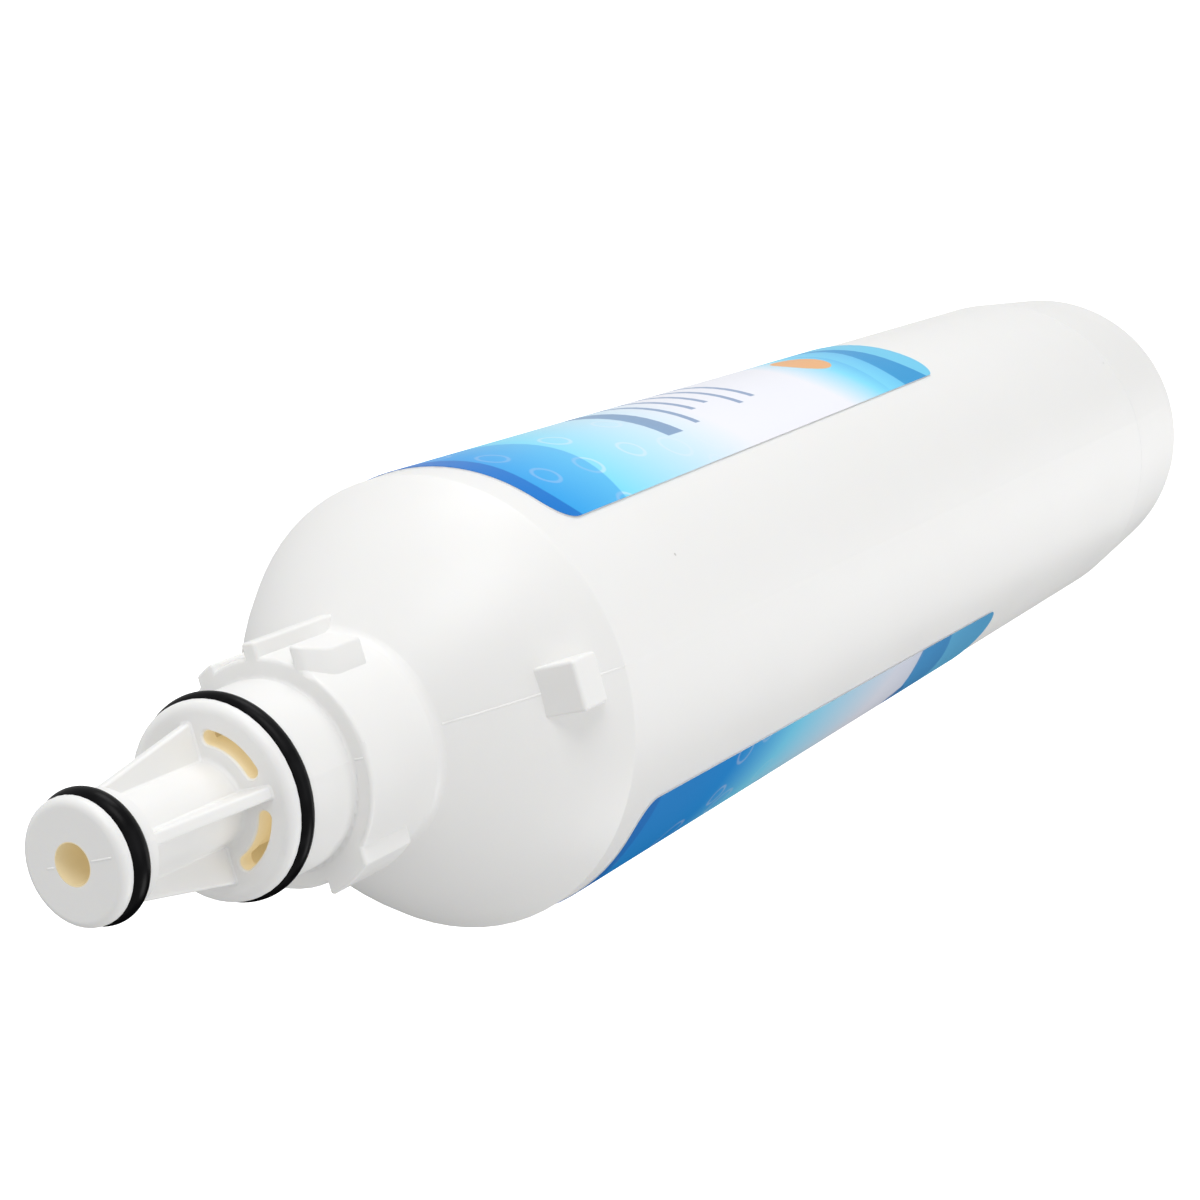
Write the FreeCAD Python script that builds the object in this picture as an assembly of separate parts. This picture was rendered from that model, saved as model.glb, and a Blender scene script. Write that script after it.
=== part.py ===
"""Refrigerator water filter cartridge: a push-and-turn moulded housing, its welded end cap, two nozzle
rings, a film label and the filter pack inside. Millimetres, +Z along the axis towards the nozzle, standing
on the closed end; +X runs through the stop block and the mould's parting plane."""
import math
import os

import FreeCAD
import Part

# Driving dimensions: the outer shell
body_diameter = 65.0
shell_wall = 2.4
end_cap_height = 38.0
tube_height = 218.6
shoulder_edge_slope = 60.0
shoulder_top_slope = 40.0
shoulder_edge_round = 0.8
collar_fillet = 2.0
collar_diameter = 30.5
collar_length = 14.84
barrel_diameter = 25.4
barrel_length = 12.9
stem_diameter = 10.8
stem_length = 24.0

# Nozzle: lands, ring grooves, ribs, bore and inlet slots
ring_clearance = 0.05
tip_ring_section = 3.2
tip_groove_width = 3.5
tip_land_diameter = 15.7
tip_land_length = 1.35
tip_round = 1.05
tip_groove_diameter = 10.2
tip_back_land_diameter = 14.6
tip_back_land_length = 1.5
flange_ring_section = 2.6
flange_groove_width = 2.9
flange_land_length = 1.55
flange_round = 1.4
flange_diameter = 25.8
flange_groove_diameter = 21.7
flange_plate = 2.4
rib_count = 4
rib_thickness = 1.6
rib_round = 0.4
stem_foot_round = 0.6
rib_tip_radius = 6.95
rib_foot_radius = 10.3
outlet_bore = 5.2
slot_radius = 8.5
slot_width = 1.9
slot_sweep = 49.0
slot_rim_chamfer = 0.25

# Inlet passage around the central tube, and the socket for the filter pack
passage_wall = 1.3
central_tube_diameter = 14.4
collar_wall = 2.8
passage_step = 3.2
socket_diameter = 10.2
socket_depth = 27.0
socket_mouth_drop = 7.4

# Bayonet lugs on the collar: each spans x and a length back from the collar's front
collar_edge_round = 0.6
collar_foot_round = 0.5
lug_edge_round = 0.45
drive_lug_radius = 16.9
drive_lug_inner = 3.4
drive_lug_outer = 10.4
drive_lug_length = 10.0
stop_lug_radius = 16.4
stop_lug_inner = 4.9
stop_lug_outer = 8.0
stop_lug_length = 10.0
guide_lug_radius = 17.2
guide_lug_inner = 0.6
guide_lug_outer = 2.8
guide_lug_root = 2.4
ramp_lug_radius = 17.7
ramp_lug_inner = 7.9
ramp_lug_nose = 1.2
ramp_lug_outer = 11.2
ramp_lug_lead = 3.6
ramp_lug_side = 7.2
ramp_lug_length = 11.2
ramp_nose_round = 1.6
ramp_lead_round = 4.0

# Stop block on the shoulder
block_reach = 31.7
block_width = 6.9
block_height = 5.7
block_base_rise = 4.7
block_round = 0.5

# End cap
cap_taper = 4.1
cap_round = 9.0
cap_floor = 3.0
cap_recess_diameter = 30.0
cap_recess_depth = 1.0
spigot_length = 8.0
spigot_wall = 2.0
weld_clearance = 0.1
weld_groove = 0.06
inner_chamfer = 3.5

# Label film: a wrap with an open gap over the parting plane, a little wider at the closed end
label_thickness = 0.15
label_glue = 0.1
label_gap_front = 76.6
label_gap_back = 88.6
label_shoulder_distance = 5.8
label_length = 138.7
label_corner = 4.0

# Filter pack
pack_side_clearance = 0.6
block_bore = 13.0
wrap_thickness = 1.2
pack_clearance = 0.15
disc_thickness = 2.5
skirt_height = 9.0
skirt_wall = 1.3
plug_depth = 6.0
plug_wall = 1.5
fin_count = 4
fin_height = 6.0
fin_thickness = 1.8
fin_inner_radius = 5.0
fin_outer_radius = 19.0
neck_clearance = 0.2
neck_bore = 5.0
neck_top_clearance = 6.0
neck_ring_section = 1.8
neck_ring_squeeze = 0.15
neck_ring_offset = 4.0
neck_ring_room = 0.3
pack_head_gap = 3.0

# Heights and radii that follow from them
body_radius = body_diameter / 2
tube_radius = body_radius - shell_wall
collar_radius = collar_diameter / 2
edge_slope = math.radians(shoulder_edge_slope)
top_slope = math.radians(shoulder_top_slope)
half_turn = (edge_slope - top_slope) / 2
shoulder_leg = (body_radius - collar_radius) / (math.cos(edge_slope) + math.cos(top_slope))
shoulder_dome = (shoulder_leg - collar_fillet) / math.tan(half_turn)
shoulder_corner = end_cap_height + tube_height
break_radius = body_radius - shoulder_leg * math.cos(edge_slope)
break_height = shoulder_corner + shoulder_leg * math.sin(edge_slope)
collar_foot = break_height + shoulder_leg * math.sin(top_slope)
collar_front = collar_foot + collar_length
guide_lug_length = collar_length + guide_lug_root
flange_face = collar_front + barrel_length
tip_face = flange_face + stem_length
flange_groove_top = flange_face - flange_land_length
flange_groove_bottom = flange_groove_top - flange_groove_width
tip_groove_top = tip_face - tip_land_length
tip_groove_bottom = tip_groove_top - tip_groove_width
stem_top = tip_groove_bottom - tip_back_land_length
plate_bottom = flange_face - flange_plate
passage_radius = flange_groove_diameter / 2 - passage_wall
collar_bore_radius = collar_radius - collar_wall
tube_outer = central_tube_diameter / 2
socket_mouth = shoulder_corner - socket_mouth_drop
socket_top = socket_mouth + socket_depth
socket_radius = socket_diameter / 2
cap_base_radius = body_radius - end_cap_height * math.tan(math.radians(cap_taper))
cap_inner_radius = cap_base_radius - shell_wall
pack_floor = cap_floor
disc_underside = pack_floor + fin_height
block_bottom = disc_underside + disc_thickness + pack_clearance
outlet_disc_top = socket_mouth - pack_head_gap
outlet_disc_underside = outlet_disc_top - disc_thickness
block_top = outlet_disc_underside - pack_clearance
skirt_radius = cap_inner_radius - pack_side_clearance - skirt_wall
wrap_radius = skirt_radius - pack_clearance
block_radius = wrap_radius - wrap_thickness - pack_clearance
neck_radius = socket_radius - neck_clearance
neck_top = socket_top - neck_top_clearance
neck_groove_radius = socket_radius - neck_ring_section + neck_ring_squeeze
label_top = shoulder_corner - label_shoulder_distance
label_bottom = label_top - label_length

axis_start = FreeCAD.Vector(0, 0, 0)
axis_up = FreeCAD.Vector(0, 0, 1)


def corner_arc(before, corner, after, radius):
    """Start, middle and end of the arc that rounds one corner of a profile."""
    back = (before - corner).normalize()
    ahead = (after - corner).normalize()
    half_angle = math.acos(max(-1.0, min(1.0, back.dot(ahead)))) / 2
    reach = radius / math.tan(half_angle)
    bisector = (back + ahead).normalize()
    middle = corner + bisector * (radius / math.sin(half_angle) - radius)
    return corner + back * reach, middle, corner + ahead * reach


def profile_face(points):
    """Face of a closed profile whose points are radius, height and corner rounding, in the XZ plane."""
    corners = [FreeCAD.Vector(radius, 0, height) for radius, height, _ in points]
    count = len(points)
    arcs = []
    for index, (_, _, rounding) in enumerate(points):
        corner = corners[index]
        if rounding > 0:
            arcs.append(corner_arc(corners[index - 1], corner, corners[(index + 1) % count], rounding))
        else:
            arcs.append((corner, None, corner))
    edges = []
    for index, (start, middle, end) in enumerate(arcs):
        if middle is not None:
            edges.append(Part.Arc(start, middle, end).toShape())
        following = arcs[(index + 1) % count][0]
        if end.distanceToPoint(following) > 1e-6:
            edges.append(Part.LineSegment(end, following).toShape())
    return Part.Face(Part.Wire(edges))


def turned(points):
    """Solid of revolution of a profile."""
    return profile_face(points).revolve(axis_start, axis_up, 360)


def ring_of_pipe(radius, bore, bottom, top):
    """Plain tube between two heights."""
    outer = Part.makeCylinder(radius, top - bottom, FreeCAD.Vector(0, 0, bottom), axis_up)
    return outer.cut(Part.makeCylinder(bore, top - bottom, FreeCAD.Vector(0, 0, bottom), axis_up))


def turned_copies(shape, count):
    """Copies of a shape spread evenly about the axis."""
    copies = []
    for index in range(count):
        copy = shape.copy()
        copy.rotate(axis_start, axis_up, 360.0 * index / count)
        copies.append(copy)
    return copies


def shoulder_points(inset, top_radius, top_round, edge_round):
    """Profile of the domed shoulder from its top to the tube, set in from the outer face."""
    middle_slope = (edge_slope + top_slope) / 2
    depth = inset / math.cos(half_turn)
    middle_radius = break_radius - depth * math.sin(middle_slope)
    middle_height = break_height - depth * math.cos(middle_slope)
    top_height = middle_height + (middle_radius - top_radius) * math.tan(top_slope)
    edge_height = shoulder_corner - inset * math.tan((math.pi / 2 - edge_slope) / 2)
    return [
        (top_radius, top_height, top_round),
        (middle_radius, middle_height, shoulder_dome - inset),
        (body_radius - inset, edge_height, edge_round),
    ]


def shell_profile():
    """Half section of the housing: nozzle, collar, shoulder, tube, inlet passage and central tube."""
    inner_slope_top = collar_front - passage_step
    return [
        (outlet_bore / 2, tip_face, 0),
        (tip_land_diameter / 2, tip_face, tip_round),
        (tip_land_diameter / 2, tip_groove_top, 0),
        (tip_groove_diameter / 2, tip_groove_top, 0),
        (tip_groove_diameter / 2, tip_groove_bottom, 0),
        (tip_back_land_diameter / 2, tip_groove_bottom, 0),
        (tip_back_land_diameter / 2, stem_top, 0),
        (stem_diameter / 2, stem_top, 0),
        (stem_diameter / 2, flange_face, stem_foot_round),
        (flange_diameter / 2, flange_face, flange_round),
        (flange_diameter / 2, flange_groove_top, 0),
        (flange_groove_diameter / 2, flange_groove_top, 0),
        (flange_groove_diameter / 2, flange_groove_bottom, 0),
        (barrel_diameter / 2, flange_groove_bottom, 0),
        (barrel_diameter / 2, collar_front, collar_foot_round),
        (collar_radius, collar_front, collar_edge_round),
        *shoulder_points(0, collar_radius, collar_fillet, shoulder_edge_round),
        (body_radius, end_cap_height + weld_groove, 0),
        (body_radius - weld_groove, end_cap_height, 0),
        (tube_radius, end_cap_height, 0),
        *reversed(shoulder_points(shell_wall, collar_bore_radius, 0, 0)),
        (collar_bore_radius, inner_slope_top, 0),
        (passage_radius, inner_slope_top, 0),
        (passage_radius, plate_bottom, 0),
        (tube_outer, plate_bottom, 0),
        (tube_outer, socket_mouth, 0),
        (socket_radius, socket_mouth, 0),
        (socket_radius, socket_top, 0),
        (outlet_bore / 2, socket_top, 0),
    ]


def inlet_slot():
    """Kidney-shaped slot through the flange plate, midway between two ribs."""
    middle_angle = 180.0 / rib_count
    depth = flange_plate + 2 * slot_width
    bottom = plate_bottom - slot_width
    ends = []
    for side in (-1, 1):
        angle = math.radians(middle_angle + side * slot_sweep / 2)
        centre = FreeCAD.Vector(slot_radius * math.cos(angle), slot_radius * math.sin(angle), bottom)
        ends.append(Part.makeCylinder(slot_width / 2, depth, centre, axis_up))
    inner_radius = slot_radius - slot_width / 2
    outer_radius = slot_radius + slot_width / 2
    foot = FreeCAD.Vector(0, 0, bottom)
    sector = Part.makeCylinder(outer_radius, depth, foot, axis_up, slot_sweep)
    sector = sector.cut(Part.makeCylinder(inner_radius, depth, foot, axis_up))
    sector.rotate(axis_start, axis_up, middle_angle - slot_sweep / 2)
    return sector.fuse(ends).removeSplitter()


def nozzle_rib():
    """Tapered fin from behind the tip ring to the flange."""
    inside = outlet_bore / 2 + rib_thickness / 2
    outline = [
        FreeCAD.Vector(inside, -rib_thickness / 2, flange_face - flange_plate / 2),
        FreeCAD.Vector(rib_foot_radius, -rib_thickness / 2, flange_face - flange_plate / 2),
        FreeCAD.Vector(rib_foot_radius, -rib_thickness / 2, flange_face),
        FreeCAD.Vector(rib_tip_radius, -rib_thickness / 2, stem_top),
        FreeCAD.Vector(rib_tip_radius, -rib_thickness / 2, stem_top + tip_back_land_length / 2),
        FreeCAD.Vector(inside, -rib_thickness / 2, stem_top + tip_back_land_length / 2),
    ]
    face = Part.Face(Part.makePolygon(outline + outline[:1]))
    rib = face.extrude(FreeCAD.Vector(0, rib_thickness, 0))
    middle_height = (flange_face + stem_top) / 2
    middle_radius = (rib_foot_radius + rib_tip_radius) / 2
    crest = FreeCAD.Vector(middle_radius, 0, middle_height)
    edges = [edge for edge in rib.Edges if edge.CenterOfMass.distanceToPoint(crest) < rib_thickness]
    return rib.makeFillet(rib_round, edges)


def from_axis(point):
    """Distance of a point from the cartridge's axis."""
    return math.hypot(point.x, point.y)


def collar_lug(outline, radius):
    """Lug drawn straight out of the mould along Y: x, depth below the collar's front, corner rounding."""
    inside = collar_radius - collar_wall / 4
    face = profile_face([(x, collar_front - depth, rounding) for x, depth, rounding in outline])
    prism = face.extrude(FreeCAD.Vector(0, 2 * radius, 0))
    length = max(depth for _, depth, _ in outline)
    zone = ring_of_pipe(radius, inside, collar_front - length, collar_front)
    lug = prism.common(zone)
    edges = []
    for edge in lug.Edges:
        if max(from_axis(vertex.Point) for vertex in edge.Vertexes) > collar_radius:
            edges.append(edge)
    return lug.makeFillet(lug_edge_round, edges)


def lug_outline(left, right, length):
    """Plain rectangular lug outline."""
    return [(left, 0, 0), (right, 0, 0), (right, length, 0), (left, length, 0)]


def bayonet_lugs():
    """Two ramp lugs half a turn apart, the stop and guide lugs beside one, the drive lug beside the other."""
    stop = collar_lug(lug_outline(-stop_lug_outer, -stop_lug_inner, stop_lug_length), stop_lug_radius)
    guide = collar_lug(lug_outline(guide_lug_inner, guide_lug_outer, guide_lug_length), guide_lug_radius)
    drive = collar_lug(lug_outline(-drive_lug_outer, -drive_lug_inner, drive_lug_length), drive_lug_radius)
    drive.rotate(axis_start, axis_up, 180)
    ramp = collar_lug([
        (ramp_lug_inner, 0, 0),
        (ramp_lug_inner + ramp_lug_nose, 0, ramp_nose_round),
        (ramp_lug_outer, ramp_lug_lead, ramp_lead_round),
        (ramp_lug_outer, ramp_lug_length, 0),
        (ramp_lug_inner, ramp_lug_side, 0),
    ], ramp_lug_radius)
    return [stop, guide, drive] + turned_copies(ramp, 2)


def stop_block():
    """Rectangular stop on the shoulder, over the parting plane."""
    inner = break_radius - shell_wall
    corner = FreeCAD.Vector(inner, -block_width / 2, shoulder_corner + block_base_rise)
    block = Part.makeBox(block_reach - inner, block_width, block_height, corner)
    edges = []
    for edge in block.Edges:
        if edge.CenterOfMass.x > inner + block_round:
            edges.append(edge)
    block = block.makeFillet(block_round, edges)
    core_floor = shoulder_corner - shell_wall
    core = turned([
        (0, core_floor, 0),
        *shoulder_points(shell_wall / 2, 0, 0, 0),
        (body_radius - shell_wall / 2, core_floor, 0),
    ])
    return block.cut(core)


def slot_rims(shell):
    """Edges of the inlet slots on the flange's face."""
    rims = []
    for edge in shell.Edges:
        box = edge.BoundBox
        on_face = box.ZLength < slot_rim_chamfer and abs(box.ZMin - flange_face) < slot_rim_chamfer
        spans = [abs(from_axis(vertex.Point) - slot_radius) for vertex in edge.Vertexes]
        if on_face and spans and max(spans) < slot_width:
            rims.append(edge)
    return rims


def housing():
    """One moulding: nozzle, collar with its lugs, shoulder and tube, open at the closed end's weld."""
    shell = turned(shell_profile())
    shell = shell.fuse(turned_copies(nozzle_rib(), rib_count) + bayonet_lugs() + [stop_block()])
    slots = turned_copies(inlet_slot(), rib_count)
    shell = shell.cut(slots[0].multiFuse(slots[1:])).removeSplitter()
    return shell.makeChamfer(slot_rim_chamfer, slot_rims(shell))


def end_cap():
    """Closed end: a tapered cup with a spigot that is welded inside the tube."""
    spigot_radius = tube_radius - weld_clearance
    recess_radius = cap_recess_diameter / 2
    spigot_bore = spigot_radius - spigot_wall
    return turned([
        (0, cap_recess_depth, 0),
        (recess_radius, cap_recess_depth, 0),
        (recess_radius + cap_recess_depth, 0, 0),
        (cap_base_radius, 0, cap_round),
        (body_radius, end_cap_height - weld_groove, 0),
        (body_radius - weld_groove, end_cap_height, 0),
        (spigot_radius, end_cap_height, 0),
        (spigot_radius, end_cap_height + spigot_length, 0),
        (spigot_bore, end_cap_height + spigot_length, 0),
        (spigot_bore, end_cap_height - spigot_length, 0),
        (cap_inner_radius, cap_floor + inner_chamfer, 0),
        (cap_inner_radius - inner_chamfer, cap_floor, 0),
        (0, cap_floor, 0),
    ])


def o_ring(inner_radius, section, height):
    """Rubber ring lying about the axis."""
    centre = FreeCAD.Vector(inner_radius + section / 2, 0, height)
    circle = Part.makeCircle(section / 2, centre, FreeCAD.Vector(0, 1, 0))
    return Part.Face(Part.Wire(circle)).revolve(axis_start, axis_up, 360)


def label_window():
    """Solid over the bare gap in the label: wider towards the closed end, flared round the film's corners."""
    half_front = body_radius * math.sin(math.radians(label_gap_front / 2))
    half_back = body_radius * math.sin(math.radians(label_gap_back / 2))
    drop = label_corner * (1 - math.sqrt(0.5))
    edges = []
    for side in (-1, 1):
        front_out = FreeCAD.Vector(0, side * (half_front + label_corner), label_top)
        front_mid = FreeCAD.Vector(0, side * (half_front + drop), label_top - drop)
        front_in = FreeCAD.Vector(0, side * half_front, label_top - label_corner)
        back_in = FreeCAD.Vector(0, side * half_back, label_bottom + label_corner)
        back_mid = FreeCAD.Vector(0, side * (half_back + drop), label_bottom + drop)
        back_out = FreeCAD.Vector(0, side * (half_back + label_corner), label_bottom)
        edges.append(Part.Arc(front_out, front_mid, front_in).toShape())
        edges.append(Part.makeLine(front_in, back_in))
        edges.append(Part.Arc(back_in, back_mid, back_out).toShape())
        edges.append(Part.makeLine(front_out, FreeCAD.Vector(0, 0, label_top)))
        edges.append(Part.makeLine(back_out, FreeCAD.Vector(0, 0, label_bottom)))
    outline = Part.Wire(Part.__sortEdges__(edges))
    return Part.Face(outline).extrude(FreeCAD.Vector(body_diameter, 0, 0))


def label():
    """Printed film around the tube, open over the parting plane."""
    inner = body_radius + label_glue
    film = ring_of_pipe(inner + label_thickness, inner, label_bottom, label_top)
    return film.cut(label_window())


def carbon_block():
    """Pressed carbon tube."""
    return ring_of_pipe(block_radius, block_bore / 2, block_bottom, block_top)


def prefilter_wrap():
    """Fleece sleeve round the carbon."""
    return ring_of_pipe(wrap_radius, block_radius + pack_clearance, block_bottom, block_top)


def lower_disc():
    """Blind end disc of the filter pack, standing on fins on the end cap's floor."""
    plug_radius = block_bore / 2 - pack_clearance
    disc_top = disc_underside + disc_thickness
    disc = turned([
        (0, disc_underside, 0),
        (skirt_radius + skirt_wall, disc_underside, 0),
        (skirt_radius + skirt_wall, disc_top + skirt_height, 0),
        (skirt_radius, disc_top + skirt_height, 0),
        (skirt_radius, disc_top, 0),
        (plug_radius, disc_top, 0),
        (plug_radius, disc_top + plug_depth, 0),
        (plug_radius - plug_wall, disc_top + plug_depth, 0),
        (plug_radius - plug_wall, disc_top, 0),
        (0, disc_top, 0),
    ])
    corner = FreeCAD.Vector(fin_inner_radius, -fin_thickness / 2, pack_floor)
    fin_length = fin_outer_radius - fin_inner_radius
    fin = Part.makeBox(fin_length, fin_thickness, fin_height + disc_thickness / 2, corner)
    return disc.fuse(turned_copies(fin, fin_count)).removeSplitter()


def outlet_disc():
    """Upper end disc of the filter pack, with the neck that enters the central tube's socket."""
    plug_radius = block_bore / 2 - pack_clearance
    groove_top = neck_top - neck_ring_offset
    groove_bottom = groove_top - neck_ring_section - neck_ring_room
    return turned([
        (neck_bore / 2, outlet_disc_underside - plug_depth, 0),
        (plug_radius, outlet_disc_underside - plug_depth, 0),
        (plug_radius, outlet_disc_underside, 0),
        (skirt_radius, outlet_disc_underside, 0),
        (skirt_radius, outlet_disc_underside - skirt_height, 0),
        (skirt_radius + skirt_wall, outlet_disc_underside - skirt_height, 0),
        (skirt_radius + skirt_wall, outlet_disc_top, 0),
        (neck_radius, outlet_disc_top, 0),
        (neck_radius, groove_bottom, 0),
        (neck_groove_radius, groove_bottom, 0),
        (neck_groove_radius, groove_top, 0),
        (neck_radius, groove_top, 0),
        (neck_radius, neck_top - neck_ring_room, 0),
        (neck_radius - neck_ring_room, neck_top, 0),
        (neck_bore / 2, neck_top, 0),
    ])


def rings():
    """The two round nozzle rings and the square-cut neck ring, each in its groove."""
    tip_height = (tip_groove_top + tip_groove_bottom) / 2
    flange_height = (flange_groove_top + flange_groove_bottom) / 2
    neck_ring_inner = neck_groove_radius + ring_clearance
    neck_ring_outer = socket_radius - ring_clearance
    neck_ring_top = neck_top - neck_ring_offset - neck_ring_room / 2
    neck_ring_bottom = neck_ring_top - neck_ring_section
    return {
        "tip_ring": o_ring(tip_groove_diameter / 2 + ring_clearance, tip_ring_section, tip_height),
        "flange_ring": o_ring(
            flange_groove_diameter / 2 + ring_clearance, flange_ring_section, flange_height),
        "neck_ring": ring_of_pipe(neck_ring_outer, neck_ring_inner, neck_ring_bottom, neck_ring_top),
    }


def main():
    os.makedirs("parts", exist_ok=True)
    pieces = {
        "housing": housing(),
        "end_cap": end_cap(),
        "label_film": label(),
        "carbon_block": carbon_block(),
        "prefilter_wrap": prefilter_wrap(),
        "lower_disc": lower_disc(),
        "outlet_disc": outlet_disc(),
    }
    pieces.update(rings())
    for name, shape in pieces.items():
        if not shape.isValid() or len(shape.Solids) != 1:
            raise ValueError(f"{name} is not one valid solid")
        shape.Solids[0].exportStep(f"parts/{name}.step")
        box = shape.BoundBox
        print(f"{name}: {shape.Volume / 1000:.2f} cm3, z {box.ZMin:.2f} to {box.ZMax:.2f}")


main()
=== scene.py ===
"""Looks of a refrigerator water filter cartridge: finishes for its solids, the marks left by its mould,
a generic label print, and a white studio with the camera. Lengths are in metres, in the frame of the
solids; materials and the label's layout count in millimetres."""
import math
from collections import namedtuple

import bmesh
import bpy
from mathutils import Euler, Matrix, Vector


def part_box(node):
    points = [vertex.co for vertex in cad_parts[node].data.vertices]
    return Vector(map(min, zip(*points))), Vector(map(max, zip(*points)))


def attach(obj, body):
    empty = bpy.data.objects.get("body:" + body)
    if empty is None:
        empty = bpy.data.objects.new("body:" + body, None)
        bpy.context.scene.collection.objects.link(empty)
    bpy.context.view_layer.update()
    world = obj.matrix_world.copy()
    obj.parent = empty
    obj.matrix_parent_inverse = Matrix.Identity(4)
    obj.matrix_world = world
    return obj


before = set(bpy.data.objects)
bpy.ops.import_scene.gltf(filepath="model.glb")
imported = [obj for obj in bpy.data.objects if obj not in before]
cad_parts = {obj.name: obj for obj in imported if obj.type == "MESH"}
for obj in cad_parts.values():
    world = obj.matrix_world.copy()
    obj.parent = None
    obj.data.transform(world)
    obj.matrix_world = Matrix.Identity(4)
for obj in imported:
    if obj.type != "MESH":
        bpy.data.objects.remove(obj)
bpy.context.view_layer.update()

BODY = "root"
MM = 0.001
PER_MM = 1000.0
MERGE_DISTANCE = 0.001 * MM
BLACK = (0.0, 0.0, 0.0, 1.0)
WHITE = (1.0, 1.0, 1.0, 1.0)

TIP_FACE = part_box("housing")[1].z
BODY_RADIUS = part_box("housing")[1].y
LABEL_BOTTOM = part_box("label_film")[0].z
LABEL_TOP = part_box("label_film")[1].z
LABEL_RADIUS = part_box("label_film")[1].y
FILM_THICKNESS = 0.15 * MM
FILM_INSIDE = LABEL_RADIUS - FILM_THICKNESS

bl_info = {
    "name": "Water filter cartridge",
    "version": (1, 0, 0),
    "blender": (4, 5, 0),
    "location": "View3D > Sidebar > Cartridge",
    "description": "Finishes, moulding marks, label print and studio for a filter cartridge",
    "category": "Object",
}


def length(name, description, millimetres):
    """A length property with its default in millimetres."""
    return bpy.props.FloatProperty(
        name=name, description=description, default=millimetres * MM,
        min=0.0, precision=5, unit="LENGTH", subtype="DISTANCE")


def slope(name, description, degrees):
    """An angle property with its default in degrees."""
    return bpy.props.FloatProperty(
        name=name, description=description, default=math.radians(degrees),
        unit="ROTATION", subtype="ANGLE")


def tint(name, description, red, green, blue):
    """A colour property in linear light."""
    return bpy.props.FloatVectorProperty(
        name=name, description=description, default=(red, green, blue, 1.0),
        size=4, min=0.0, max=1.0, subtype="COLOR")


def studio_length(name, description, metres):
    """A length property of the studio with its default in metres."""
    return bpy.props.FloatProperty(
        name=name, description=description, default=metres, min=0.0, unit="LENGTH")


def lamp_power(name, description, watts):
    """A property for the power of a lamp."""
    return bpy.props.FloatProperty(
        name=name, description=description, default=watts, min=0.0, unit="POWER")


def amount(name, description, value):
    """A property for a plain amount."""
    return bpy.props.FloatProperty(name=name, description=description, default=value, min=0.0)


class CartridgeSizes(bpy.types.PropertyGroup):
    """Lengths of the moulded head that the marks follow, and of the marks themselves."""
    collar_radius: length("Collar radius", "Outside of the bayonet collar", 15.25)
    collar_front: length("Collar front", "Height of the collar's front face", 292.0)
    collar_foot: length("Collar foot", "Height where the collar's side would meet the shoulder", 277.158)
    collar_edge: length("Collar edge", "Rounding of the collar's front edge", 0.6)
    fillet: length("Fillet", "Rounding between collar and shoulder", 2.0)
    top_slope: slope("Top slope", "Slope of the domed shoulder at the collar", 40.0)
    edge_slope: slope("Edge slope", "Slope of the domed shoulder at the tube", 60.0)
    barrel_radius: length("Barrel radius", "Outside of the barrel in front of the collar", 12.7)
    bore_radius: length("Bore radius", "Outlet bore in the nozzle's tip", 2.6)
    passage_radius: length("Passage radius", "Inside of the inlet passage behind the flange", 9.55)
    flange_face: length("Flange face", "Height of the slotted flange's face", 304.898)
    flash_width: length("Flash width", "Width of the parting flash", 0.26)
    flash_rise: length("Flash rise", "Height of the parting flash above the wall", 0.06)
    long_mark: length("Long mark", "Longer flash mark on the tip's face", 3.2)
    long_mark_gap: length("Long mark gap", "From the bore to the longer mark", 0.4)
    short_mark: length("Short mark", "Shorter flash mark on the tip's face", 1.2)
    short_mark_gap: length("Short mark gap", "From the bore to the shorter mark", 0.3)


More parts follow.
